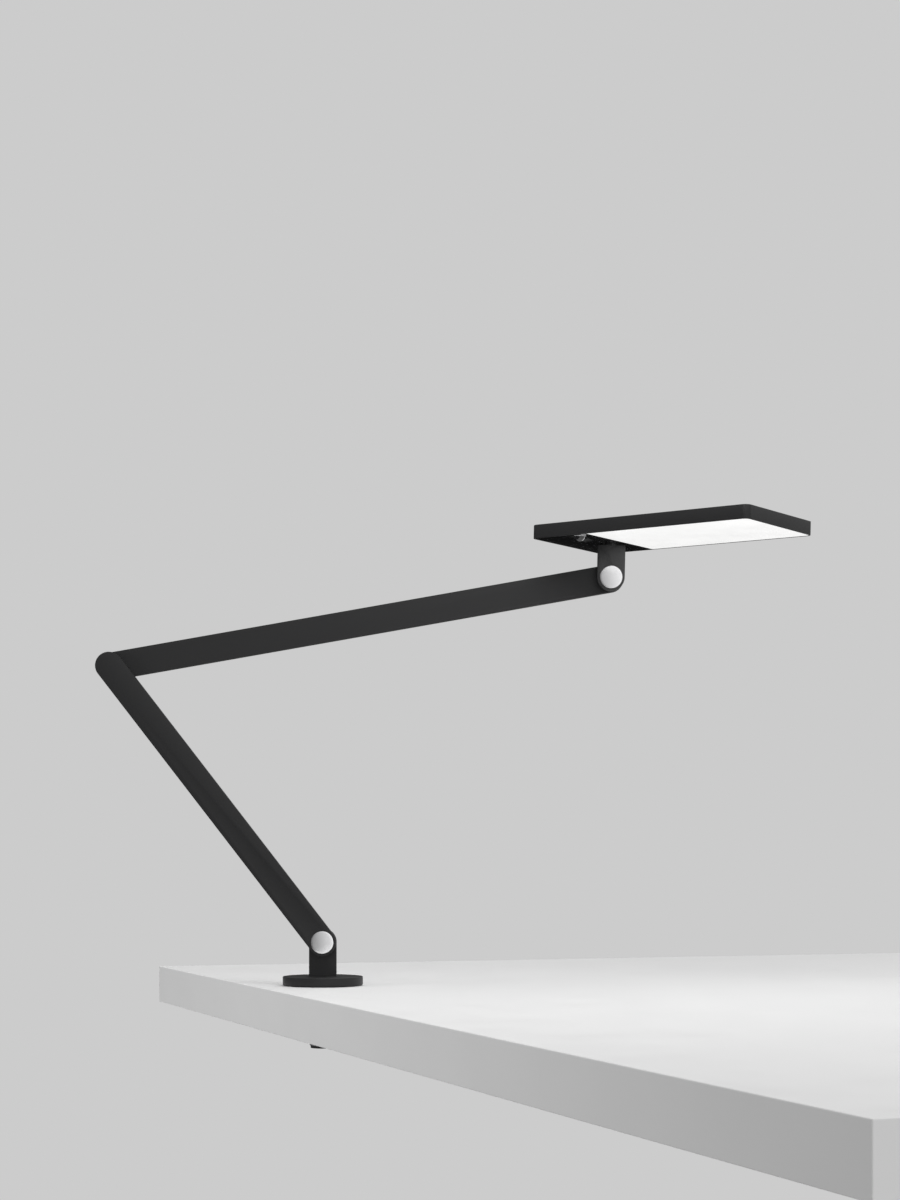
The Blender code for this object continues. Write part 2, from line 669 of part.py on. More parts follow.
def head_pieces():
    x_low = -SWIVEL_INSET
    x_high = HEAD_LENGTH - SWIVEL_INSET
    y_low = SWIVEL_SIDE - HEAD_WIDTH
    y_high = SWIVEL_SIDE
    split = CONTROL_LENGTH - SWIVEL_INSET
    inside_low = (x_low + HEAD_WALL, y_low + HEAD_WALL)
    inside_high = (x_high - HEAD_WALL, y_high - HEAD_WALL)
    inner_corner = HEAD_CORNER - HEAD_WALL
    tray = flat_outline(
        "head_tray",
        rounded_rectangle((x_low, y_low), (x_high, y_high), [HEAD_CORNER] * 4),
        0,
        HEAD_HEIGHT,
        head_frame,
        BLACK_PAINT,
    )
    bevel = tray.modifiers.new("edge", "BEVEL")
    bevel.width = 0.5 * MM
    bevel.segments = 1
    bevel.limit_method = "ANGLE"
    bevel.angle_limit = math.radians(60)
    hollow = flat_outline(
        "tray_hollow",
        rounded_rectangle(inside_low, inside_high, [inner_corner] * 4),
        -MM,
        HEAD_HEIGHT - HEAD_ROOF,
        head_frame,
    )
    boolean(tray, hollow)
    for i, centre in enumerate(BRACKET_BOLTS):
        number = str(i + 1)
        boss = drill("tray_boss_" + number, 3 * MM, BRACKET[1] + GAP, HEAD_HEIGHT - MM, head_frame, centre, sides=20)
        thread = drill("boss_thread_" + number, 1.55 * MM, 0, 10.2 * MM, head_frame, centre, sides=16)
        boolean(tray, boss, "UNION")
        boolean(tray, thread)

    lip = GAP
    corner = inner_corner - lip
    panel = flat_outline(
        "control_panel",
        rounded_rectangle(
            (inside_low[0] + lip, inside_low[1] + lip),
            (split - lip / 2, inside_high[1] - lip),
            [corner, 0, 0, corner],
        ),
        *PANEL,
        head_frame,
        GLOSS_BLACK,
    )
    boolean(panel, drill("panel_swivel_hole", SWIVEL_RADIUS + 0.5 * MM, -MM, 4 * MM, head_frame))
    ring_outer = BUTTON_RADIUS + 1.0 * MM
    boolean(panel, drill("panel_button_hole", ring_outer + GAP, -MM, 4 * MM, head_frame, BUTTON_PLACE, sides=MEDIUM))
    flat_outline(
        "diffuser",
        rounded_rectangle(
            (split + lip / 2, inside_low[1] + lip),
            (inside_high[0] - lip, inside_high[1] - lip),
            [0, corner, corner, 0],
        ),
        *PANEL,
        head_frame,
        OPAL,
    )
    guide_low = (split + 2.5 * MM, inside_low[1] + 2.2 * MM)
    guide_high = (inside_high[0] - 2.2 * MM, inside_high[1] - 2.2 * MM)
    for name, span, material in (
        ("light_guide", GUIDE, CLEAR),
        ("reflector_sheet", FILM, WHITE_FILM),
        ("heat_spreader", SPREADER, BARE_ALUMINIUM),
    ):
        box(name, (*guide_low, span[0]), (*guide_high, span[1]), head_frame, material)
    near_strip = (guide_low[1] - 1.5 * MM, guide_low[1] - GAP)
    far_strip = (guide_high[1] + GAP, guide_high[1] + 1.5 * MM)
    for number, edge_y in (("1", near_strip), ("2", far_strip)):
        box("led_strip_" + number, (guide_low[0], edge_y[0], GUIDE[0]), (guide_high[0], edge_y[1], GUIDE[1]),
            head_frame, WHITE_FILM)

    ring("swivel_bush", 11 * MM, SWIVEL_RADIUS + GAP, PANEL[1] + GAP, BRACKET[0] - GAP, head_frame, NYLON)
    bracket = box("swivel_bracket", (-24 * MM, -32 * MM, BRACKET[0]), (12 * MM, 32 * MM, BRACKET[1]),
                  head_frame, STEEL)
    boolean(bracket, drill("bracket_bore", SWIVEL_RADIUS + GAP, 0, 8 * MM, head_frame))
    for i, centre in enumerate(BRACKET_BOLTS):
        number = str(i + 1)
        boolean(bracket, drill("bracket_hole_" + number, 1.55 * MM, 0, 8 * MM, head_frame, centre, sides=16))
        screw = turned("bracket_screw_" + number, screw_profile(3.0 * MM, 9.8 * MM, 2.4 * MM, 1.25 * MM, MM),
                       head_frame, STEEL, 16)
        screw.location = (*centre, 0)
    ring("swivel_spring_washer", 8.5 * MM, SWIVEL_RADIUS + GAP, BRACKET[1] + GAP, 7.1 * MM, wrist_head_frame,
         DARK_STEEL)
    hex_nut("swivel_nut", 9.5 * MM, SWIVEL_RADIUS + GAP, 7.4 * MM, 9.7 * MM, wrist_head_frame, STEEL)

    board = box("driver_board", (-34 * MM, -70.5 * MM, 5 * MM), (-4 * MM, -36 * MM, 6.4 * MM), head_frame, CIRCUIT)
    blocks = ((-31, -68, 12, 13, 10.4), (-16, -68, 9, 8, 9.6), (-30, -52, 14, 12, 10.2), (-14, -58, 6, 16, 9.0))
    for i, (x, y, wide, deep, top) in enumerate(blocks):
        low = (x * MM, y * MM, 6 * MM)
        high = ((x + wide) * MM, (y + deep) * MM, top * MM)
        boolean(board, box(f"board_component_{i + 1}", low, high, head_frame), "UNION")

    bx, by = BUTTON_PLACE
    box("button_board", (bx - 8 * MM, by - 7 * MM, 7.4 * MM), (bx + 8 * MM, by + 9 * MM, 8.6 * MM),
        head_frame, CIRCUIT)
    box("button_switch", (bx - 3 * MM, by - 3 * MM, 4.7 * MM), (bx + 3 * MM, by + 3 * MM, 7.1 * MM),
        head_frame, NYLON)
    trim = ring("button_ring", ring_outer, BUTTON_RADIUS + GAP, -0.4 * MM, PANEL[1], head_frame, CHROME, MEDIUM,
                edge=0.2 * MM)
    trim.location = (bx, by, 0)
    flange = PANEL[1] + GAP
    dome_start = BUTTON_RADIUS - BUTTON_HEIGHT
    dome = [(radius, height + dome_start) for radius, height in arc((0, 0), BUTTON_RADIUS, 0, -90, 8)]
    dome[-1] = (0, -BUTTON_HEIGHT)
    turned(
        "button",
        [
            (0, flange + 0.8 * MM),
            (BUTTON_RADIUS + 1.2 * MM, flange + 0.8 * MM),
            (BUTTON_RADIUS + 1.2 * MM, flange),
            (BUTTON_RADIUS, flange),
            *dome,
        ],
        button_frame,
        GLOSS_BLACK,
        MEDIUM,
    )


# ---- assembly ---------------------------------------------------------------------------------------
shoulder_frame = joint_frame("shoulder_frame", turn_frame, (0, 0, SHOULDER_HEIGHT))
wrist_head_frame = joint_frame("wrist_head_frame", wrist_frame, (0, LAYER_MIDDLE, HEAD_LIFT))

base_pieces()
shoulder_ear = base_ear()
lower_arm = arm("lower_arm", LOWER_ARM, FRONT_LAYER, lower_frame)
upper_arm = arm("upper_arm", UPPER_ARM, REAR_LAYER, upper_frame)
wrist_ear, wrist_spindle = head_ear()
head_pieces()

through_pivot("shoulder", shoulder_ear, shoulder_frame, 0, lower_arm, lower_frame)
blind_pivot("elbow", upper_arm, upper_frame, lower_arm, lower_frame, LOWER_ARM)
through_pivot("wrist", upper_arm, upper_frame, UPPER_ARM, wrist_ear, wrist_frame)
boolean(wrist_ear, wrist_spindle, "UNION")

for piece in lamp.objects:
    if piece.type == "MESH":
        piece.data.shade_smooth()
        piece.data.set_sharp_from_angle(angle=math.radians(35))
bpy.context.view_layer.update()
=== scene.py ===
# %% [markdown]
# # An architect desk lamp
# The lamp is a steel disc clamped through a desk, two flat black bars on friction hinges, and a slim
# light panel that turns on a swivel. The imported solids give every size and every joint. This lesson
# gives the pieces that show a finer mesh, and gives every piece a finish built from shader nodes.

# %% Load the fixed frame
import json
import math

import bmesh
import bpy
from mathutils import Matrix, Vector


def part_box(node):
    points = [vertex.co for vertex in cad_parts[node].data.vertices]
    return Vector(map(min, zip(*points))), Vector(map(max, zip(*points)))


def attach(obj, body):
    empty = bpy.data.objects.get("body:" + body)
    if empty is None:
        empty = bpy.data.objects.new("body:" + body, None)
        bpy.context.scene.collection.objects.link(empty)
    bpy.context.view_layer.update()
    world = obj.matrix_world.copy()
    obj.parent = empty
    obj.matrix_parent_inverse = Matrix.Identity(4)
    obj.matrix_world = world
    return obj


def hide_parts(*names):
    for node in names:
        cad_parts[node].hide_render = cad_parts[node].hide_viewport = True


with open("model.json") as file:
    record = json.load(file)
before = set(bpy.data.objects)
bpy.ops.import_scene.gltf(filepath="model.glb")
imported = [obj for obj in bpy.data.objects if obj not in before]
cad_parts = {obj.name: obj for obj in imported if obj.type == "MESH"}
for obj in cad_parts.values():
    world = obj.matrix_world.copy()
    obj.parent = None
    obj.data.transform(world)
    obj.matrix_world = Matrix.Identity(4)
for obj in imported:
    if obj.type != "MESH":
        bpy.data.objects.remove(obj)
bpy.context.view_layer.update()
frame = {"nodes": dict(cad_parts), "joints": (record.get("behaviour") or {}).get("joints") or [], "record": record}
nodes = frame["nodes"]

# %% [markdown]
# ## Sizes from the frame
# The joints say where each pivot is and which way it turns, so each moving piece can be drawn lying
# level in its own frame and then carried to its place by one matrix. Thicknesses and widths come from
# the boxes of the solids.

# %% Pivots, layers and piece frames
MM = 0.001
joints = {joint["name"]: joint for joint in frame["joints"]}
SHOULDER, ELBOW, WRIST = (Vector(joints[name]["pos_m"]) for name in ("shoulder", "elbow", "wrist"))
SWIVEL = Vector(joints["head_swivel"]["pos_m"])
SWIVEL_AXIS = Vector(joints["head_swivel"]["axis"]).normalized()
Y_AXIS = Vector((0, 1, 0))


def piece_frame(origin, along):
    """A frame on the plane of the pivots, with +X along the given direction and +Y along the pivots."""
    x = Vector(along).normalized()
    axes = Matrix((x, Y_AXIS, x.cross(Y_AXIS))).transposed()
    return Matrix.Translation((origin.x, 0, origin.z)) @ axes.to_4x4()


def span(node, axis):
    """Lowest and highest value of a solid along a world axis (0, 1 or 2)."""
    low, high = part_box(node)
    return low[axis], high[axis]


UPRIGHT = piece_frame(SHOULDER, (1, 0, 0))
LOWER = piece_frame(SHOULDER, ELBOW - SHOULDER)
UPPER = piece_frame(ELBOW, WRIST - ELBOW)
HANGING = piece_frame(WRIST, Y_AXIS.cross(SWIVEL_AXIS))
lower_length = (ELBOW - SHOULDER).length
upper_length = (WRIST - ELBOW).length
rear_layer = span("upper_arm", 1)
front_layer = span("lower_arm", 1)
half_strap = span("base_ear", 2)[1] - SHOULDER.z
print(f"arms {lower_length / MM:.0f} and {upper_length / MM:.0f} mm")
print(f"bars {2 * half_strap / MM:.1f} mm wide")

# %% [markdown]
# The light panel is turned about the swivel by a bit over two fifths of a right angle, toward the
# viewer, which brings its near long side into view.

# %% The light panel's own frame
HEAD_TURN = math.radians(-38.9)
level_axes = HANGING.to_3x3() @ Matrix.Rotation(HEAD_TURN, 3, "Z")
HEAD = Matrix.Translation(SWIVEL) @ level_axes.to_4x4()


def local_span(node, axis):
    """Lowest and highest value of a solid along an axis of the light panel's own frame."""
    back = HEAD.inverted()
    values = [(back @ vertex.co)[axis] for vertex in nodes[node].data.vertices]
    return min(values), max(values)


tray_x, tray_y, tray_z = (local_span("head_tray", axis) for axis in range(3))
print("panel:", [round((high - low) / MM, 1) for low, high in (tray_x, tray_y, tray_z)], "mm")

# %% [markdown]
# ## Camera
# The camera stands two metres away and a little above the desk. It is held level, so that uprights
# stay upright, and its lens is shifted up to bring the arms into the frame.

# %% Camera
camera_data = bpy.data.cameras.new("camera")
camera_data.sensor_width = 36.0
camera_data.lens = 63.42
camera_data.shift_y = 0.21608
camera = bpy.data.objects.new("camera", camera_data)
camera.location = (0.1218, -2.0255, 0.1206)
camera.rotation_euler = (math.radians(90), 0, 0)
bpy.context.scene.collection.objects.link(camera)
bpy.context.scene.camera = camera
print(f"lens {camera_data.lens:.1f} mm, shift {camera_data.shift_y:.3f}")

# %% [markdown]
# ## Shared effects
# Real paint, metal and plastic are never one flat value. Node groups hold the effects that
# several finishes share, each with named inputs so that a material can say how big and how strong:
# *Fine grain* is the tiny orange-peel of a sprayed or moulded skin, *Cloudy tone* is the slow change of
# gloss over a hand-sized area, and *Settled dust* finds the surfaces that face up.


# %% A helper for node groups
def new_group(name, inputs, outputs):
    """An empty shader node group with named sockets, and its input and output nodes."""
    group = bpy.data.node_groups.new(name, "ShaderNodeTree")
    for socket, kind, value in inputs:
        made = group.interface.new_socket(socket, in_out="INPUT", socket_type=kind)
        if value is not None:
            made.default_value = value
    for socket, kind in outputs:
        group.interface.new_socket(socket, in_out="OUTPUT", socket_type=kind)
    source = group.nodes.new("NodeGroupInput")
    sink = group.nodes.new("NodeGroupOutput")
    return group, source, sink


FLOAT, COLOUR, VECTOR = "NodeSocketFloat", "NodeSocketColor", "NodeSocketVector"

# %% Fine grain
grain, grain_in, grain_out = new_group(
    "fine_grain",
    [("Size mm", FLOAT, 0.5), ("Depth mm", FLOAT, 0.01), ("Stretch", VECTOR, (1, 1, 1))],
    [("Mask", FLOAT), ("Normal", VECTOR)],
)


def add(tree, kind, **values):
    """A node with settings as keywords, where in_Name sets the value of the input Name."""
    node = tree.nodes.new(kind)
    for key, value in values.items():
        if key.startswith("in_"):
            node.inputs[key[3:].replace("_", " ")].default_value = value
        else:
            setattr(node, key, value)
    return node


def wire(tree, source, output, target, socket):
    """Links an output to an input, each by its name or its number."""
    tree.links.new(source.outputs[output], target.inputs[socket])


place = add(grain, "ShaderNodeTexCoord")
per_size = add(grain, "ShaderNodeMath", operation="DIVIDE")
per_size.inputs[0].default_value = 1 / MM
wire(grain, grain_in, "Size mm", per_size, 1)
stretched = add(grain, "ShaderNodeVectorMath", operation="MULTIPLY")
wire(grain, place, "Object", stretched, 0)
wire(grain, grain_in, "Stretch", stretched, 1)
speckle = add(grain, "ShaderNodeTexNoise", in_Detail=3.0, in_Roughness=0.55)
wire(grain, stretched, "Vector", speckle, "Vector")
wire(grain, per_size, "Value", speckle, "Scale")
in_metres = add(grain, "ShaderNodeMath", operation="MULTIPLY")
in_metres.inputs[1].default_value = MM
wire(grain, grain_in, "Depth mm", in_metres, 0)
relief = add(grain, "ShaderNodeBump", in_Strength=1.0)
wire(grain, speckle, "Fac", relief, "Height")
wire(grain, in_metres, "Value", relief, "Distance")
wire(grain, speckle, "Fac", grain_out, "Mask")
wire(grain, relief, "Normal", grain_out, "Normal")
print("group:", grain.name)

# %% Cloudy tone
cloud, cloud_in, cloud_out = new_group(
    "cloudy_tone",
    [("Size mm", FLOAT, 60.0), ("Low", FLOAT, 0.4), ("High", FLOAT, 0.5)],
    [("Value", FLOAT)],
)
place = add(cloud, "ShaderNodeTexCoord")
per_size = add(cloud, "ShaderNodeMath", operation="DIVIDE")
per_size.inputs[0].default_value = 1 / MM
wire(cloud, cloud_in, "Size mm", per_size, 1)
drift = add(cloud, "ShaderNodeTexNoise", in_Detail=4.0, in_Roughness=0.6)
wire(cloud, place, "Object", drift, "Vector")
wire(cloud, per_size, "Value", drift, "Scale")
fit = add(cloud, "ShaderNodeMapRange")
fit.inputs["From Min"].default_value = 0.3
fit.inputs["From Max"].default_value = 0.7
wire(cloud, drift, "Fac", fit, "Value")
wire(cloud, cloud_in, "Low", fit, "To Min")
wire(cloud, cloud_in, "High", fit, "To Max")
wire(cloud, fit, "Result", cloud_out, "Value")
print("group:", cloud.name)

# %% Settled dust
dust, dust_in, dust_out = new_group(
    "settled_dust",
    [
        ("Amount", FLOAT, 0.1),
        ("Base", COLOUR, (0.03, 0.03, 0.03, 1)),
        ("Dust", COLOUR, (0.35, 0.34, 0.32, 1)),
    ],
    [("Colour", COLOUR), ("Mask", FLOAT)],
)
facing = add(dust, "ShaderNodeNewGeometry")
split = add(dust, "ShaderNodeSeparateXYZ")
wire(dust, facing, "Normal", split, "Vector")
upward = add(dust, "ShaderNodeMapRange")
upward.inputs["From Min"].default_value = 0.6
upward.inputs["From Max"].default_value = 1.0
wire(dust, split, "Z", upward, "Value")
place = add(dust, "ShaderNodeTexCoord")
lint = add(dust, "ShaderNodeTexNoise", in_Scale=260.0, in_Detail=6.0, in_Roughness=0.7)
wire(dust, place, "Object", lint, "Vector")
patchy = add(dust, "ShaderNodeMath", operation="MULTIPLY")
wire(dust, upward, "Result", patchy, 0)
wire(dust, lint, "Fac", patchy, 1)
amount = add(dust, "ShaderNodeMath", operation="MULTIPLY")
wire(dust, patchy, "Value", amount, 0)
wire(dust, dust_in, "Amount", amount, 1)
blend = add(dust, "ShaderNodeMix", data_type="RGBA")
wire(dust, amount, "Value", blend, 0)
wire(dust, dust_in, "Base", blend, 6)
wire(dust, dust_in, "Dust", blend, 7)
wire(dust, blend, 2, dust_out, "Colour")
wire(dust, amount, "Value", dust_out, "Mask")
print("group:", dust.name)

# %% [markdown]
# Machined faces carry lines. A cap turned on a lathe has rings round its own centre, so the *Turned
# rings* group measures the distance from the object's origin, and each cap's origin is its centre.

# %% Turned rings
rings, rings_in, rings_out = new_group(
    "turned_rings",
    [("Pitch mm", FLOAT, 0.25), ("Depth mm", FLOAT, 0.004)],
    [("Mask", FLOAT), ("Normal", VECTOR)],
)
place = add(rings, "ShaderNodeTexCoord")
split = add(rings, "ShaderNodeSeparateXYZ")
wire(rings, place, "Object", split, "Vector")
flat = add(rings, "ShaderNodeCombineXYZ")
wire(rings, split, "X", flat, "X")
wire(rings, split, "Z", flat, "Y")
radius = add(rings, "ShaderNodeVectorMath", operation="LENGTH")
wire(rings, flat, "Vector", radius, 0)
count = add(rings, "ShaderNodeMath", operation="DIVIDE")
count.inputs[0].default_value = 1 / MM
wire(rings, rings_in, "Pitch mm", count, 1)
turns = add(rings, "ShaderNodeMath", operation="MULTIPLY")
wire(rings, radius, "Value", turns, 0)
wire(rings, count, "Value", turns, 1)
groove = add(rings, "ShaderNodeTexNoise", noise_dimensions="1D", in_Scale=1.0, in_Detail=2.0)
wire(rings, turns, "Value", groove, "W")
in_metres = add(rings, "ShaderNodeMath", operation="MULTIPLY")
in_metres.inputs[1].default_value = MM
wire(rings, rings_in, "Depth mm", in_metres, 0)
relief = add(rings, "ShaderNodeBump", in_Strength=1.0)
wire(rings, groove, "Fac", relief, "Height")
wire(rings, in_metres, "Value", relief, "Distance")
wire(rings, groove, "Fac", rings_out, "Mask")
wire(rings, relief, "Normal", rings_out, "Normal")
print("group:", rings.name)

# %% [markdown]
# ## Finishes
# Each material is a Principled shader that takes its tone from the groups. `new_finish` makes the
# material and its shader; the values that are the same all over are set on the shader's own sockets.


# %% A helper for materials
def new_finish(name, roughness=0.5, metallic=0.0, colour=(0.5, 0.5, 0.5), **sockets):
    material = bpy.data.materials.new(name)
    material.use_nodes = True
    tree = material.node_tree
    shader = tree.nodes["Principled BSDF"]
    shader.inputs["Base Color"].default_value = (*colour, 1)
    shader.inputs["Roughness"].default_value = roughness
    shader.inputs["Metallic"].default_value = metallic
    for socket, value in sockets.items():
        shader.inputs[socket.replace("_", " ")].default_value = value
    return material, tree, shader


def use_group(tree, group, **values):
    """One of the shared effects inside a material, with this material's own values."""
    node = tree.nodes.new("ShaderNodeGroup")
    node.node_tree = group
    for socket, value in values.items():
        node.inputs[socket.replace("_", " ")].default_value = value
    return node


def grained(name, colour, size, depth, low, high, metallic=0.0, cloud_size=60.0, stretch=(1, 1, 1), **more):
    """A finish of one colour with a fine relief and a gloss that drifts between low and high."""
    material, tree, shader = new_finish(name, high, metallic, colour, **more)
    relief = use_group(tree, grain, Size_mm=size, Depth_mm=depth, Stretch=stretch)
    gloss = use_group(tree, cloud, Size_mm=cloud_size, Low=low, High=high)
    wire(tree, relief, "Normal", shader, "Normal")
    wire(tree, gloss, "Value", shader, "Roughness")
    return material, tree, shader


def dusty(material, colour, amount):
    """Adds settled dust to a finish of that colour."""
    tree = material.node_tree
    layer = use_group(tree, dust, Amount=amount, Base=(*colour, 1))
    wire(tree, layer, "Colour", tree.nodes["Principled BSDF"], "Base Color")
    return material


# %% [markdown]
# **Black powder coat.** The bars, the ear, the disc and the tray are sprayed with powder and baked, which
# leaves a satin skin with a fine orange-peel of about half a millimetre. Its black isn't deep: it is a
# charcoal, lighter where it turns to the light.

# %% Black powder coat
COAT_COLOUR = (0.020, 0.020, 0.0205)
black_coat, _, _ = grained(
    "black_powder_coat", COAT_COLOUR, 0.45, 0.006, 0.42, 0.5, Specular_IOR_Level=0.25
)
dusty(black_coat, COAT_COLOUR, 0.012)
# The head ear gets a lighter copy of the same black coat. This is painted light: it stands in for the panel's
# light falling on the ear.
EAR_PAINTED_LIGHT_COLOUR = (0.025, 0.025, 0.0255)
ear_painted_light_coat, _, _ = grained("ear_powder_painted_lighter", EAR_PAINTED_LIGHT_COLOUR, 0.45, 0.006, 0.38, 0.46, cloud_size=30.0)
dusty(ear_painted_light_coat, EAR_PAINTED_LIGHT_COLOUR, 0.012)
COVER_COLOUR = (0.018, 0.018, 0.0185)
cover_coat, _, _ = grained(
    "cover_strip_coat", COVER_COLOUR, 0.6, 0.010, 0.46, 0.56, stretch=(1, 3, 1), Specular_IOR_Level=0.3
)
dusty(cover_coat, COVER_COLOUR, 0.04)
print("finish:", black_coat.name, cover_coat.name)

# %% [markdown]
# **Gloss black.** The zone round the swivel is a moulded acrylic plate. It mirrors the ear below it, so
# its roughness stays very low, with only a breath of haze from handling.

# %% Gloss black
GLOSS_COLOUR = (0.004, 0.004, 0.0045)
gloss_black, _, _ = grained("gloss_black", GLOSS_COLOUR, 4.0, 0.001, 0.05, 0.09, cloud_size=25.0)
button_black, _, _ = grained(
    "button_black", (0.005, 0.005, 0.006), 0.8, 0.0003, 0.03, 0.06, cloud_size=8.0, Specular_IOR_Level=1.0
)
print("finish:", gloss_black.name, button_black.name)

# %% [markdown]
# **Polished caps.** Each cap is an aluminium disc faced on a lathe, so its sheen swings round the centre.
# The turned rings give the relief, and a soft gloss stands in for the sheen of such a face.

# %% Polished caps
cap_metal, tree, shader = new_finish("turned_aluminium", 0.25, 1.0, (0.86, 0.86, 0.87))
lines = use_group(tree, rings, Pitch_mm=0.3, Depth_mm=0.0004)
wire(tree, lines, "Normal", shader, "Normal")
gloss = use_group(tree, cloud, Size_mm=9.0, Low=0.22, High=0.28)
wire(tree, gloss, "Value", shader, "Roughness")
shade = add(tree, "ShaderNodeMix", data_type="RGBA")
shade.inputs[6].default_value = (0.84, 0.84, 0.85, 1)
shade.inputs[7].default_value = (0.93, 0.93, 0.94, 1)
wire(tree, lines, "Mask", shade, 0)
wire(tree, shade, 2, shader, "Base Color")
chrome, _, _ = grained("chrome", (0.88, 0.88, 0.89), 1.5, 0.0008, 0.04, 0.09, 1.0, cloud_size=10.0)
print("finish:", cap_metal.name, chrome.name)

# %% [markdown]
# **Opal diffuser.** The light leaves through opal acrylic that evens it out. It is the lamp's light, so it
# glows, with a slow drift and a faint fleck, because the guide behind it never lights it quite evenly.

# %% Opal diffuser
opal, tree, shader = new_finish("opal_acrylic", 0.4, 0.0, (0.30, 0.30, 0.30), Emission_Strength=0.80)
drift = use_group(tree, cloud, Size_mm=35.0, Low=0.0, High=1.0)
fleck = use_group(tree, grain, Size_mm=1.6, Depth_mm=0.002)
wire(tree, fleck, "Normal", shader, "Normal")
evenness = add(tree, "ShaderNodeMix", data_type="FLOAT")
evenness.inputs[0].default_value = 0.35
wire(tree, drift, "Value", evenness, 2)
wire(tree, fleck, "Mask", evenness, 3)
glow = add(tree, "ShaderNodeMix", data_type="RGBA")
glow.inputs[6].default_value = (0.86, 0.86, 0.855, 1)
glow.inputs[7].default_value = (1.0, 0.998, 0.99, 1)
wire(tree, evenness, 0, glow, 0)
wire(tree, glow, 2, shader, "Emission Color")
print("finish:", opal.name)

# %% [markdown]
# **Metals, plastics and rubber inside.** They show only when the lamp is taken apart, but each has its
# own grain: zinc plate is cloudy, rolled sheet is drawn out along one direction, nylon and rubber are
# matt. One table holds them, because they differ only in numbers.

# %% Hidden finishes
PLAIN = {
    # name: colour, grain size mm, grain depth mm, gloss low, gloss high, metallic, stretch
    "zinc_steel": ((0.56, 0.57, 0.60), 0.8, 0.004, 0.26, 0.42, 1.0, (1, 1, 1)),
    "blackened_steel": ((0.045, 0.045, 0.05), 0.6, 0.004, 0.32, 0.45, 0.85, (1, 1, 1)),
    "black_rubber": ((0.014, 0.014, 0.014), 0.35, 0.02, 0.72, 0.88, 0.0, (1, 1, 1)),
    "white_nylon": ((0.74, 0.73, 0.69), 0.7, 0.006, 0.42, 0.55, 0.0, (1, 1, 1)),
    "clear_acrylic": ((0.86, 0.90, 0.91), 2.0, 0.001, 0.04, 0.08, 0.0, (1, 1, 1)),
    "white_film": ((0.90, 0.90, 0.90), 0.5, 0.003, 0.5, 0.62, 0.0, (1, 1, 1)),
    "rolled_aluminium": ((0.72, 0.73, 0.74), 0.5, 0.004, 0.28, 0.4, 1.0, (0.1, 1, 1)),
    "circuit_board": ((0.012, 0.10, 0.035), 0.9, 0.012, 0.3, 0.45, 0.0, (1, 1, 1)),
    "cable_jacket": ((0.02, 0.02, 0.021), 0.5, 0.006, 0.45, 0.6, 0.0, (1, 1, 1)),
}
hidden = {}
for name, (colour, size, depth, low, high, metallic, stretch) in PLAIN.items():
    hidden[name], _, _ = grained(name, colour, size, depth, low, high, metallic, stretch=stretch)
print("hidden finishes:", len(hidden))

# %% [markdown]
# The stud under the desk is threaded for its nut. Bands along its length, one and a half millimetres
# apart, give the thread's relief to the same zinc plate. A wave texture repeats every 2 pi / 20 of its
# scale, which sets the number below.

# %% Thread relief
THREAD_PITCH = 1.5 * MM
THREAD_DEPTH = 0.4 * MM
thread, tree, shader = grained("threaded_zinc", PLAIN["zinc_steel"][0], 0.8, 0.004, 0.26, 0.42, 1.0)
place = add(tree, "ShaderNodeTexCoord")
wave = add(tree, "ShaderNodeTexWave", bands_direction="Z", in_Scale=math.tau / 20 / THREAD_PITCH)
wire(tree, place, "Object", wave, "Vector")
groove = add(tree, "ShaderNodeBump", in_Strength=0.8, in_Distance=THREAD_DEPTH)
wire(tree, wave, "Fac", groove, "Height")
wire(tree, groove, "Normal", shader, "Normal")
print("finish:", thread.name)

# %% [markdown]
# Every solid starts with the finish that suits its slot in the record. A finer piece that replaces a
# solid later brings its own.

# %% Finishes on the solids
BY_SLOT = dict(
    hidden,
    black_steel=black_coat,
    black_aluminium=black_coat,
    gloss_black=gloss_black,
    polished_aluminium=cap_metal,
    chrome=chrome,
    opal_acrylic=opal,
    bare_aluminium=hidden["rolled_aluminium"],
)
slot_of = {part["node"]: part["material_slot"] for part in frame["record"]["subparts"]}
material_of = {name: BY_SLOT[slot_of[name]] for name in nodes}
material_of["desk_stud"] = thread
for name, node in nodes.items():
    for material_slot in node.material_slots:
        material_slot.material = material_of[name]
print("slots:", sorted(set(slot_of.values())))

# %% [markdown]
# ## Drawing tools
# A flat bar is an outline made solid between two heights, then its edges are rounded. A round piece is a
# profile turned about an axis. Every piece is drawn in its own level frame, cut there, and only then
# carried to its place, so the cutters need no turning. Holes are cut before the edges are rounded, so
# that the rims of the holes are rounded too.


# %% Outlines
def arc(centre, radius, start, end, steps):
    """Points along an arc, in degrees."""
    angles = [math.radians(start + (end - start) * i / steps) for i in range(steps + 1)]
    return [(centre[0] + radius * math.cos(a), centre[1] + radius * math.sin(a)) for a in angles]


def bar_outline(length, steps=40):
    """A flat bar with half-round ends, its pivots at 0 and at length."""
    return arc((0, 0), half_strap, 90, 270, steps) + arc((length, 0), half_strap, -90, 90, steps)


def rounded_rectangle(x_span, y_span, radii, steps=12):
    """Corner radii are listed from the low corner, anticlockwise."""
    corners = [(0, 0, 180), (1, 0, 270), (1, 1, 0), (0, 1, 90)]
    points = []
    for (i, j, start), radius in zip(corners, radii):
        x = x_span[i] + (radius if i == 0 else -radius)
        y = y_span[j] + (radius if j == 0 else -radius)
        points += arc((x, y), radius, start, start + 90, steps) if radius else [(x, y)]
    return points


def quarter(corner, radius, start, steps=5):
    """A rounded profile corner that runs clockwise from the direction start, in degrees."""
    turn = math.radians(start - 45)
    x = corner[0] - math.copysign(radius, math.cos(turn))
    y = corner[1] - math.copysign(radius, math.sin(turn))
    return arc((x, y), radius, start, start - 90, steps)


print("bar outline points:", len(bar_outline(lower_length)))


# %% [markdown]
# The outline or profile becomes a mesh through bmesh, Blender's own mesh builder, because its points come
# from sizes. A primitive from the Add menu would need its points moved afterwards.


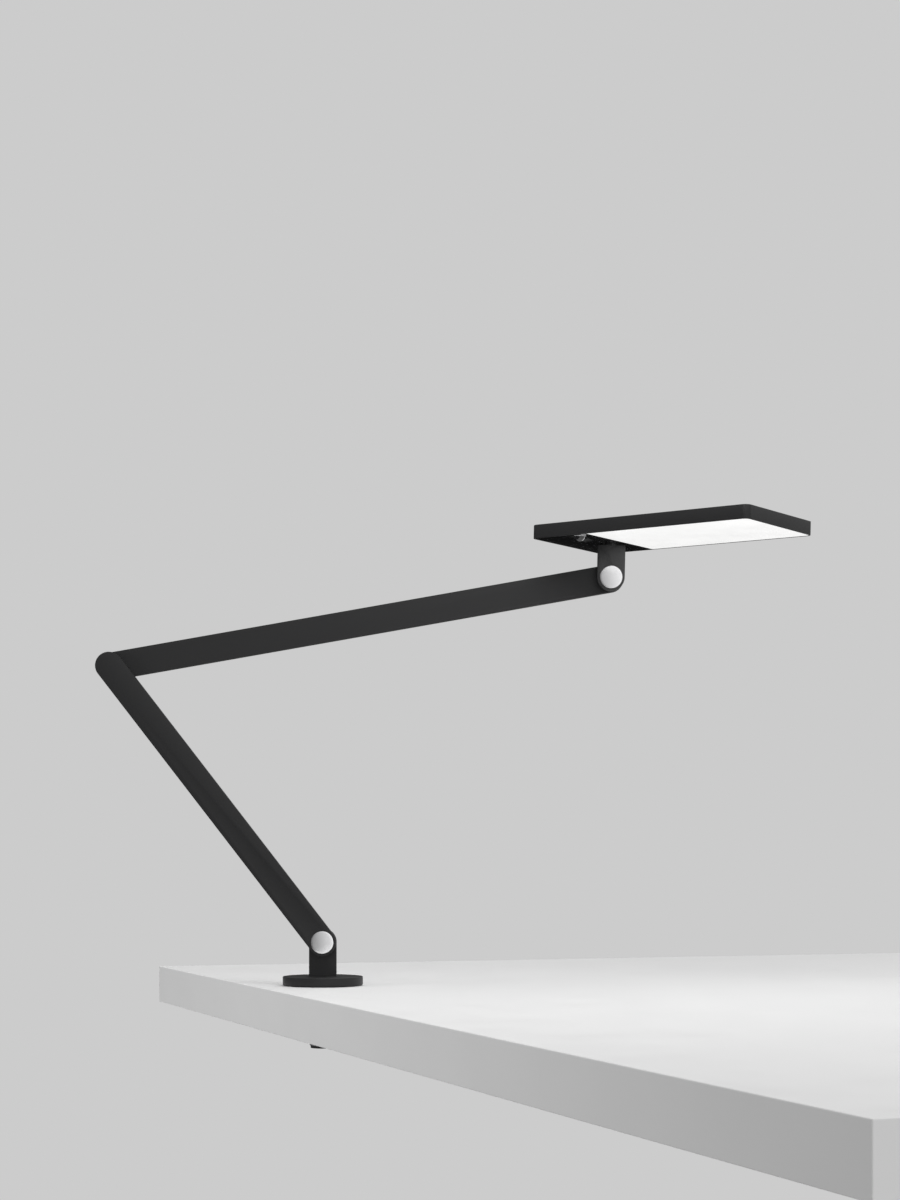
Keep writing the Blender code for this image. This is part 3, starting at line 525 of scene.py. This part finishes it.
# %% Solids from outlines and profiles
def mesh_object(name, shape, material=None):
    """The built shape as an object in the scene, with its faces turned outward."""
    bmesh.ops.recalc_face_normals(shape, faces=shape.faces)
    mesh = bpy.data.meshes.new(name)
    shape.to_mesh(mesh)
    shape.free()
    if material:
        mesh.materials.append(material)
    piece = bpy.data.objects.new(name, mesh)
    bpy.context.scene.collection.objects.link(piece)
    return piece


def plate(name, outline, low, high, material=None, along_y=False):
    """An outline in the XY plane between two heights, or in the XZ plane between two Y values."""
    shape = bmesh.new()
    rim = [shape.verts.new((x, low, y) if along_y else (x, y, low)) for x, y in outline]
    face = shape.faces.new(rim)
    grown = bmesh.ops.extrude_face_region(shape, geom=[face])
    lift = Vector((0, high - low, 0)) if along_y else Vector((0, 0, high - low))
    moved = [part for part in grown["geom"] if isinstance(part, bmesh.types.BMVert)]
    bmesh.ops.translate(shape, verts=moved, vec=lift)
    return mesh_object(name, shape, material)


def turned(name, profile, material=None, sides=96, along_y=False, centre=(0, 0, 0)):
    """A closed profile of (radius, height) points turned about +Z, or about -Y, through a centre."""
    shape = bmesh.new()
    rows = []
    for radius, height in profile:
        count = 1 if radius == 0 else sides
        ring_of = []
        for i in range(count):
            a = math.tau * i / sides
            ring_of.append(shape.verts.new((radius * math.cos(a), radius * math.sin(a), height)))
        rows.append(ring_of)
    closed = not (profile[0][0] == 0 and profile[-1][0] == 0)
    for k in range(len(rows) if closed else len(rows) - 1):
        first, second = rows[k], rows[(k + 1) % len(rows)]
        for i in range(sides):
            j = (i + 1) % sides
            lower = [first[i % len(first)], first[j % len(first)]]
            upper = [second[j % len(second)], second[i % len(second)]]
            corners = list(dict.fromkeys(lower + upper))
            if len(corners) > 2:
                shape.faces.new(corners)
    if along_y:
        bmesh.ops.transform(shape, matrix=Matrix.Rotation(math.pi / 2, 4, "X"), verts=shape.verts)
    bmesh.ops.translate(shape, verts=shape.verts, vec=Vector(centre))
    return mesh_object(name, shape, material)


def hole(radius, low, high, centre=(0, 0), along_y=False, sides=96):
    """A cylinder to cut with, between two heights along Z, or along -Y."""
    profile = [(0, low), (radius, low), (radius, high), (0, high)]
    at = (centre[0], 0, centre[1]) if along_y else (*centre, 0)
    return turned("hole", profile, sides=sides, along_y=along_y, centre=at)


def block(low, high):
    """A box to cut with, between two opposite corners."""
    outline = [(low[0], low[1]), (high[0], low[1]), (high[0], high[1]), (low[0], high[1])]
    return plate("block", outline, low[2], high[2])


print("shapes: plate, turned, hole, block")

# %% [markdown]
# Cuts and rounded edges are Boolean and Bevel modifiers. They are applied at once, so that the next step works on
# the real mesh.


# %% Cuts and soft edges
def apply_modifiers(piece):
    """Makes the modifiers' result the piece's own mesh."""
    graph = bpy.context.evaluated_depsgraph_get()
    mesh = bpy.data.meshes.new_from_object(piece.evaluated_get(graph))
    piece.modifiers.clear()
    piece.data = mesh


def cut(piece, *tools, operation="DIFFERENCE"):
    """Cuts each tool from the piece, or joins it on, and removes the tools."""
    for tool in tools:
        modifier = piece.modifiers.new("cut", "BOOLEAN")
        modifier.operation = operation
        modifier.solver = "EXACT"
        modifier.object = tool
    apply_modifiers(piece)
    for tool in tools:
        bpy.data.objects.remove(tool)


def soften(piece, width, segments=3, angle=40):
    """Rounds the sharp edges."""
    bevel = piece.modifiers.new("soft_edges", "BEVEL")
    bevel.width = width
    bevel.segments = segments
    bevel.limit_method = "ANGLE"
    bevel.angle_limit = math.radians(angle)
    bevel.use_clamp_overlap = True
    apply_modifiers(piece)


print("edits: cut, soften")

# %% [markdown]
# Each finer piece is carried to its place last, and tied to the body that moves it. It then stands for
# the solids that it replaces, in every pose.


# %% Pieces in their places
def finish_piece(piece, place, body, *replaced, width=0.0, segments=3, origin=None):
    """Rounds the piece, carries it to its place, and makes it ride on its body for what it replaces."""
    if width:
        soften(piece, width, segments)
    piece.data.transform(place)
    if origin is not None:
        piece.data.transform(Matrix.Translation(-origin))
        piece.location = origin
    piece.data.shade_smooth()
    piece.data.set_sharp_from_angle(angle=math.radians(32))
    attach(piece, body)
    if replaced:
        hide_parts(*replaced)
    print(f"{piece.name}: {len(piece.data.polygons)} faces, rides on {body}")


# %% [markdown]
# ## Base disc
# The foot is a steel disc about as wide as a palm, turned with small round edges so that powder coat
# holds on them. It is one turned profile: the rim, the recess above for the turning foot, and the two
# recesses below for the rubber ring and the stud's flange.

# %% Base disc
GAP = 0.3 * MM
IN_PLACE = Matrix.Identity(4)
FLANGE_RADIUS = 20.7 * MM
WEB_RADIUS = 7.8 * MM
SCREW_CIRCLE = 16.7 * MM
SCREW_RADIUS = 1.5 * MM
disc_low, disc_top = span("base_disc", 2)
disc_radius = span("base_disc", 0)[1]
foot_radius = span("base_bush", 0)[1]
bush_bottom, bush_top = span("base_bush", 2)
pad_radius = span("base_pad", 0)[1]
pad_top = span("base_pad", 2)[1]
web_top = bush_top - 0.8 * MM - GAP
recess = foot_radius + GAP
profile = [(WEB_RADIUS, bush_bottom), (WEB_RADIUS, web_top), (recess, web_top)]
profile += [(recess, disc_top - 0.2 * MM), (recess + 0.2 * MM, disc_top)]
profile += quarter((disc_radius, disc_top), 0.8 * MM, 90)
profile += quarter((disc_radius, disc_low), 0.8 * MM, 0)
profile += [(pad_radius + GAP, disc_low), (pad_radius + GAP, pad_top + GAP)]
profile += [(FLANGE_RADIUS + GAP, pad_top + GAP), (FLANGE_RADIUS + GAP, bush_bottom)]
disc = turned("base_disc_fine", profile, black_coat, 192)
threads = []
for i in range(3):
    turn = math.radians(90 + 120 * i)
    screw_place = (SCREW_CIRCLE * math.cos(turn), SCREW_CIRCLE * math.sin(turn))
    threads.append(hole(SCREW_RADIUS, 2 * MM, 7 * MM, screw_place, sides=24))
cut(disc, *threads)
finish_piece(disc, IN_PLACE, "base", "base_disc")

# %% [markdown]
# ## Pivot holes
# Two layers of bars meet at each hinge. Heights along a hinge count forward, toward the viewer, from the
# middle of the rear layer. Each bar gets a bore, a shallow recess for the plastic friction washer, and a
# pocket behind the cap for the spring and the nut.

# %% Heights at a hinge
rear_face, rear_inner = -rear_layer[1], -rear_layer[0]
front_inner, front_face = -front_layer[1], -front_layer[0]
BORE = 4.3 * MM
WASHER_HOLE = 9.3 * MM
WASHER_DEPTH = 1.2 * MM
NUT_POCKET = 8.5 * MM
NUT_DEPTH = 4.6 * MM
HEAD_POCKET = 7.3 * MM
HEAD_DEPTH = 3.4 * MM
STUD_DEPTH = 5.5 * MM
OUT = MM


def pivot_hole(radius, low, high, x=0.0):
    """A hole along a hinge, at a distance along the bar."""
    return hole(radius, low, high, (x, 0), along_y=True)


def rear_holes(x):
    """The rear bar of a bolted hinge: bore, washer recess, and counterbore for the bolt's head."""
    return [
        pivot_hole(BORE, rear_face - OUT, rear_inner + OUT, x),
        pivot_hole(WASHER_HOLE, rear_inner - WASHER_DEPTH, rear_inner + OUT, x),
        pivot_hole(HEAD_POCKET, rear_face - OUT, rear_face + HEAD_DEPTH, x),
    ]


def front_holes(x):
    """The front bar of a bolted hinge: bore, and pocket for the nut."""
    return [
        pivot_hole(BORE, front_inner - OUT, front_face + OUT, x),
        pivot_hole(NUT_POCKET, front_face - NUT_DEPTH, front_face + OUT, x),
    ]


print("layers:", [round(v / MM, 2) for v in (rear_face, rear_inner, front_inner, front_face)], "mm")

# %% [markdown]
# ## Base ear
# An upright tab with a round top stands on a round foot that turns in the disc. The tab is welded on, with
# a small flare at each side where it meets the foot.

# %% Base ear
foot_top = 8.8 * MM
foot_low = 6.7 * MM
foot = foot_top - SHOULDER.z
FLARE = 0.9 * MM
EDGE = 0.45 * MM
SPINDLE_RADIUS = 5.9 * MM
SPINDLE_BORE = 3.5 * MM
spindle_low = -3 * MM
outline = arc((0, 0), half_strap, 0, 180, 40)
outline += arc((-half_strap - FLARE, foot + FLARE), FLARE, 0, -90, 6)
outline += arc((half_strap + FLARE, foot + FLARE), FLARE, -90, -180, 6)
ear = plate("base_ear_fine", outline, *rear_layer, black_coat, along_y=True)
cut(ear, *rear_holes(0))
soften(ear, EDGE)
spindle = [(SPINDLE_BORE, foot_top - 0.3 * MM - SHOULDER.z)]
spindle += quarter((foot_radius, foot), 0.3 * MM, 90, 3)
spindle += [
    (radius, height - SHOULDER.z)
    for radius, height in (
        (foot_radius, foot_low),
        (SPINDLE_RADIUS, foot_low),
        (SPINDLE_RADIUS, spindle_low),
        (SPINDLE_BORE, spindle_low),
    )
]
cut(ear, turned("foot", spindle, black_coat), operation="UNION")
finish_piece(ear, UPRIGHT, "base_turn", "base_ear")

# %% [markdown]
# ## Arms
# Both arms are long flat bars. A channel in the rear face takes the cable, and a thin strip closes it,
# flush with the bar. The strip's thin gap and its rounded ends are what shows from behind.

# %% Bars, channels and cover strips
COVER_INSET = 24 * MM
COVER_HALF = 6 * MM
COVER_CORNER = 0.8 * MM
CHANNEL_HALF = 4 * MM
CHANNEL_DEPTH = 4.3 * MM


def arm(name, length, layer, place, body, holes):
    """A bar with its holes and cable channel, and the strip that closes the channel."""
    rear = layer[1]
    bar = plate(name + "_fine", bar_outline(length), *layer, black_coat, along_y=True)
    cut(bar, *holes)
    low = (COVER_INSET + 2 * MM, rear - CHANNEL_DEPTH, -CHANNEL_HALF)
    high = (length - COVER_INSET - 2 * MM, rear + OUT, CHANNEL_HALF)
    channel = block(low, high)
    low = (COVER_INSET - GAP, rear - MM - GAP, -COVER_HALF - GAP)
    high = (length - COVER_INSET + GAP, rear + OUT, COVER_HALF + GAP)
    cut(bar, channel, block(low, high))
    finish_piece(bar, place, body, name, width=EDGE)
    spans = (COVER_INSET, length - COVER_INSET), (-COVER_HALF, COVER_HALF)
    outline = rounded_rectangle(*spans, [COVER_CORNER] * 4, 4)
    strip = plate(name + "_cover_fine", outline, rear - MM, rear, cover_coat, along_y=True)
    finish_piece(strip, place, body, name + "_cover", width=0.18 * MM, segments=2)


arm("lower_arm", lower_length, front_layer, LOWER, "lower_arm", [
    *front_holes(0),
    pivot_hole(WASHER_HOLE, front_inner - OUT, front_inner + STUD_DEPTH, lower_length),
])
arm("upper_arm", upper_length, rear_layer, UPPER, "upper_arm", [
    *rear_holes(upper_length),
    pivot_hole(BORE, rear_face - OUT, rear_inner + OUT),
    pivot_hole(NUT_POCKET, rear_face - OUT, rear_face + NUT_DEPTH),
    pivot_hole(WASHER_HOLE, rear_inner - WASHER_DEPTH, rear_inner + OUT),
])

# %% [markdown]
# ## Head ear
# The head's ear hangs the other way round: its round end is at the wrist and its straight end carries the
# hollow spindle that the panel turns on. The ear stands upright under the panel while the panel turns.

# %% Head ear
TUBE_BORE = 3 * MM
TUBE_RADIUS = 6 * MM
lift = (SWIVEL - WRIST).dot(SWIVEL_AXIS)
ear_end = lift - GAP
outline = arc((0, 0), half_strap, 180, 360, 40) + [(half_strap, ear_end), (-half_strap, ear_end)]
# The ear and its tube take the lighter copy of the coat, which paints in the panel's light on the ear.
ear = plate("head_ear_fine", outline, *front_layer, ear_painted_light_coat, along_y=True)
cut(ear, *front_holes(0))
soften(ear, EDGE)
middle = (front_layer[0] + front_layer[1]) / 2
tube_low = ear_end - 0.6 * MM
tube_high = lift + 10 * MM
tube = [(TUBE_BORE, tube_low), (TUBE_RADIUS, tube_low)]
tube += [(TUBE_RADIUS, tube_high), (TUBE_BORE, tube_high)]
cut(ear, turned("tube", tube, ear_painted_light_coat, 64, centre=(0, middle, 0)), operation="UNION")
finish_piece(ear, HANGING, "wrist", "head_ear")

# %% [markdown]
# ## Caps
# A polished disc covers the nut of each hinge. Its face is very slightly domed and its rim is round, so
# it picks up a dark band on one side and a bright one on the other. Each cap keeps its origin at its own
# centre, because the turned rings are measured from there.

# %% Polished caps
CAP_RADIUS = 10.75 * MM
CAP_HEIGHT = 1.3 * MM
CAP_DOME = 0.6 * MM
DOME_STEPS = 8
PLUG_RADIUS = 8.2 * MM


def cap(name, pivot, face, outward, place, body):
    """A cap on the face of a bar, with its plug inside the bar's pocket."""
    inner = face + GAP
    profile = [(0, inner + CAP_HEIGHT)]
    for i in range(1, DOME_STEPS + 1):
        r = CAP_RADIUS * 0.94 * i / DOME_STEPS
        profile.append((r, inner + CAP_HEIGHT - CAP_DOME * (i / DOME_STEPS) ** 2))
    profile += [(CAP_RADIUS * 0.985, inner + 0.55 * MM), (CAP_RADIUS, inner + 0.35 * MM)]
    profile += [(CAP_RADIUS, inner), (PLUG_RADIUS, inner)]
    profile += [(PLUG_RADIUS, inner - MM), (0, inner - MM)]
    piece = turned(name + "_fine", profile, cap_metal, 128, along_y=True)
    if outward < 0:
        piece.data.transform(Matrix.Rotation(math.pi, 4, "Z"))
    finish_piece(piece, place, body, name, origin=Vector((pivot.x, 0, pivot.z)))


cap("shoulder_cap", SHOULDER, front_face, 1, UPRIGHT, "lower_arm")
cap("elbow_cap", ELBOW, -rear_face, -1, piece_frame(ELBOW, (1, 0, 0)), "upper_arm")
cap("wrist_cap", WRIST, front_face, 1, piece_frame(WRIST, (1, 0, 0)), "wrist")

# %% [markdown]
# ## Light panel
# The tray is a shallow box, open below, with flat sides and tight corners. Its top edge is rounded by
# less than a millimetre and its lower rim is thin, so that from below only a fine black line frames the
# two plates: the glossy plate round the swivel, and the opal plate that lights.

# %% Tray
WALL = 1.3 * MM
ROOF = 1.5 * MM
CORNER = 6 * MM
BOSS_RADIUS = 3 * MM
BOSS_LOW = 6.1 * MM
PILOT_RADIUS = 1.55 * MM
PILOT_HIGH = 10.2 * MM
outline = rounded_rectangle(tray_x, tray_y, [CORNER] * 4, 16)
tray = plate("head_tray_fine", outline, *tray_z, black_coat)
soften(tray, 0.6 * MM, 3, 60)
inside_x = (tray_x[0] + WALL, tray_x[1] - WALL)
inside_y = (tray_y[0] + WALL, tray_y[1] - WALL)
inner_corner = CORNER - WALL
inside = rounded_rectangle(inside_x, inside_y, [inner_corner] * 4)
cut(tray, plate("hollow", inside, -MM, tray_z[1] - ROOF, black_coat))
BOLTS = [(x * MM, y * MM) for x in (-18, 6) for y in (-26, 26)]
bosses = [hole(BOSS_RADIUS, BOSS_LOW, tray_z[1] - MM, bolt, sides=32) for bolt in BOLTS]
cut(tray, *bosses, operation="UNION")
cut(tray, *[hole(PILOT_RADIUS, 0, PILOT_HIGH, bolt, sides=24) for bolt in BOLTS])
finish_piece(tray, HEAD, "head", "head_tray")

# %% [markdown]
# **The two plates.** They lie 0.3 mm inside the tray's rim and 0.3 mm apart. The seam between them runs
# square across the panel.

# %% Gloss plate and diffuser
panel_x = local_span("control_panel", 0)
diffuser_x = local_span("diffuser", 0)
plate_y = local_span("diffuser", 1)
plate_z = local_span("diffuser", 2)
button_low = [local_span("button", axis)[0] for axis in range(3)]
button_high = [local_span("button", axis)[1] for axis in range(3)]
button_x = (button_low[0] + button_high[0]) / 2
button_y = (button_low[1] + button_high[1]) / 2
ring_x = local_span("button_ring", 0)
ring_radius = (ring_x[1] - ring_x[0]) / 2
SWIVEL_HOLE = 6.5 * MM
r = inner_corner - GAP
outline = rounded_rectangle(panel_x, plate_y, [r, 0, 0, r])
panel = plate("control_panel_fine", outline, *plate_z, gloss_black)
swivel_hole = hole(SWIVEL_HOLE, -MM, 4 * MM)
button_hole = hole(ring_radius + GAP, -MM, 4 * MM, (button_x, button_y))
cut(panel, swivel_hole, button_hole)
finish_piece(panel, HEAD, "head", "control_panel", width=0.15 * MM, segments=2)
outline = rounded_rectangle(diffuser_x, plate_y, [0, r, r, 0])
diffuser = plate("diffuser_fine", outline, *plate_z, opal)
finish_piece(diffuser, HEAD, "head", "diffuser", width=0.15 * MM, segments=2)

# %% [markdown]
# **Power button.** A small glossy dome hangs below the plate inside a thin chrome ring. Its edge catches
# a thin line of light.

# %% Button and its ring
FLANGE_WIDTH = 1.2 * MM
button_radius = ring_radius - 1.0 * MM
depth = -button_low[2]
profile = [(0, button_high[2]), (button_radius + FLANGE_WIDTH, button_high[2])]
flange_low = button_high[2] - 0.8 * MM
profile += [(button_radius + FLANGE_WIDTH, flange_low), (button_radius, flange_low)]
dome = arc((0, button_radius - depth), button_radius, 0, -90, 24)
profile += dome[:-1] + [(0, -depth)]
button = turned("button_fine", profile, button_black, 96, centre=(button_x, button_y, 0))
finish_piece(button, HEAD, "button", "button")
ring_z = local_span("button_ring", 2)
profile = [(button_radius + GAP, ring_z[0] + 0.15 * MM), (button_radius + 0.45 * MM, ring_z[0])]
profile += [(ring_radius - 0.2 * MM, ring_z[0]), (ring_radius, ring_z[0] + 0.2 * MM)]
profile += [(ring_radius, ring_z[1]), (button_radius + GAP, ring_z[1])]
trim = turned("button_ring_fine", profile, chrome, 96, centre=(button_x, button_y, 0))
finish_piece(trim, HEAD, "head", "button_ring")

# %% [markdown]
# ## The stage
# The lamp is clamped near one end of a white desk, in front of a plain grey wall. Neither belongs to the
# lamp. The desk is a slab that stands a little askew, so that one of its corners shows behind the lamp.

# %% Desk
desk_white, _, _ = grained("desk_white", (0.80, 0.80, 0.80), 1.2, 0.004, 0.55, 0.7)
DESK_CORNER = Vector((-0.207, 0.364, 0))
DESK_SIZE = (2.2, 1.5)
DESK_THICK = 0.040
DESK_TURN = math.radians(20.5)
STUD_HOLE = 13.5 * MM
outline = [(0, -DESK_SIZE[1]), (DESK_SIZE[0], -DESK_SIZE[1]), (DESK_SIZE[0], 0), (0, 0)]
desk = plate("desk", outline, -DESK_THICK, -0.2 * MM, desk_white)
soften(desk, 0.8 * MM, 3, 60)
desk.data.transform(Matrix.Translation(DESK_CORNER) @ Matrix.Rotation(DESK_TURN, 4, "Z"))
cut(desk, hole(STUD_HOLE, -0.05, 0.01))
print("desk thickness", DESK_THICK, "m")

# %% [markdown]
# ## Light
# A plain studio: a grey wall that the camera sees, a soft sky that is brighter on the right, soft boxes
# in front, above and on the left, a card for the button alone, and the lamp's own panel.

# %% [markdown]
# The camera sees one flat grey. Everything else is lit by a sky that grows from dark on the left to bright
# on the right, falls off again at the far right, is a little lighter above, and is nearly black straight
# behind the lamp, so that the gloss plate stays dark.


# %% World
def graded(tree, source, axis, from_span, to_span):
    """Maps a span of one direction of the sky to a span of brightness."""
    node = add(tree, "ShaderNodeMapRange")
    for socket, value in zip(("From Min", "From Max", "To Min", "To Max"), (*from_span, *to_span)):
        node.inputs[socket].default_value = value
    wire(tree, source, axis, node, "Value")
    return node


world = bpy.data.worlds.new("studio")
bpy.context.scene.world = world
world.use_nodes = True
sky = world.node_tree
for node in list(sky.nodes):
    sky.nodes.remove(node)
WALL_GREY = 0.604
wall = add(sky, "ShaderNodeBackground", in_Strength=1.0)
wall.inputs["Color"].default_value = (WALL_GREY, WALL_GREY, WALL_GREY, 1)
around = add(sky, "ShaderNodeBackground", in_Strength=1.0)
direction = add(sky, "ShaderNodeTexCoord")
split = add(sky, "ShaderNodeSeparateXYZ")
wire(sky, direction, "Generated", split, "Vector")
sideways = graded(sky, split, "X", (-0.4, 0.4), (0.10, 1.05))
above = graded(sky, split, "Z", (0, 1), (0, 0.30))
edge = graded(sky, split, "X", (0.40, 0.85), (1.0, 0.5))
level = add(sky, "ShaderNodeMath", operation="MULTIPLY")
wire(sky, sideways, "Result", level, 0)
wire(sky, edge, "Result", level, 1)
total = add(sky, "ShaderNodeMath", operation="ADD")
wire(sky, level, "Value", total, 0)
wire(sky, above, "Result", total, 1)
behind = graded(sky, split, "Y", (0.80, 0.95), (1.0, 0.02))
shaded = add(sky, "ShaderNodeMath", operation="MULTIPLY")
wire(sky, total, "Value", shaded, 0)
wire(sky, behind, "Result", shaded, 1)
wire(sky, shaded, "Value", around, "Color")
path = add(sky, "ShaderNodeLightPath")
choose = add(sky, "ShaderNodeMixShader")
wire(sky, path, "Is Camera Ray", choose, "Fac")
wire(sky, around, 0, choose, 1)
wire(sky, wall, 0, choose, 2)
end = add(sky, "ShaderNodeOutputWorld")
wire(sky, choose, 0, end, 0)
print("world:", world.name)

# %% [markdown]
# Square area lights act as soft boxes. Of these only the near one may be mirrored, which gives the caps
# one bright thing to pick up.


# %% Soft boxes
def soft_box(name, place, target, size, power):
    """A square area light that looks at a target. Mirrors don't see it."""
    data = bpy.data.lights.new(name, "AREA")
    data.shape = "SQUARE"
    data.size = size
    data.energy = power
    lamp = bpy.data.objects.new(name, data)
    lamp.location = place
    lamp.visible_glossy = False
    lamp.rotation_euler = (Vector(target) - Vector(place)).to_track_quat("-Z", "Y").to_euler()
    bpy.context.scene.collection.objects.link(lamp)
    return lamp


near_box = soft_box("near_box", (0.20, -0.46, 0.80), (0.26, 0, 0.4), 0.30, 1.8)
near_box.visible_glossy = True
soft_box("top_box", (0.7, -0.5, 1.9), (0.4, 0, 0.0), 1.4, 8)
soft_box("left_box", (-1.7, -0.6, 0.25), (-0.1, 0, 0.0), 0.8, 16)
print("soft boxes: near_box, top_box, left_box")

# %% [markdown]
# The button is a gloss black dome, so its lower right edge shows a thin bright line: the light behind it,
# mirrored at a grazing angle. A card behind and below gives that line, and is linked to the button only.

# %% Card for the button's edge
button_centre = Vector((low + high) / 2 for low, high in zip(*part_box("button")))
card_place = button_centre + Vector((0.34, 0.50, -0.26))
card = soft_box("edge_card", card_place, button_centre, 0.5, 3.0)
card.visible_camera = False
card.visible_diffuse = False
card.visible_glossy = True
only_button = bpy.data.collections.new("lit_by_edge_card")
only_button.objects.link(button)
card.light_linking.receiver_collection = only_button
print("card at", [round(value, 2) for value in card_place])

# %% [markdown]
# **The panel's own light.** The diffuser's glow alone is set to look right to the eye, which is far less
# than it sheds. A light of the same size lies just under it, rides with the panel, and isn't seen itself.

# %% Light from the panel
panel_light = bpy.data.lights.new("panel_light", "AREA")
panel_light.shape = "RECTANGLE"
panel_light.size = diffuser_x[1] - diffuser_x[0]
panel_light.size_y = plate_y[1] - plate_y[0]
panel_light.energy = 0.10
glow_lamp = bpy.data.objects.new("panel_light", panel_light)
bpy.context.scene.collection.objects.link(glow_lamp)
centre = ((diffuser_x[0] + diffuser_x[1]) / 2, (plate_y[0] + plate_y[1]) / 2, plate_z[0] - 0.4 * MM)
glow_lamp.matrix_world = HEAD @ Matrix.Translation(centre)
glow_lamp.visible_camera = False
glow_lamp.visible_glossy = False
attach(glow_lamp, "head")
print("panel light:", panel_light.energy, "W")

# %% [markdown]
# ## View settings
# The standard view keeps the greys of the studio as they are, with no added contrast.

# %% View transform
scene = bpy.context.scene
scene.view_settings.view_transform = "Standard"
scene.view_settings.look = "None"
scene.view_settings.exposure = 0.0
print("view:", scene.view_settings.view_transform)
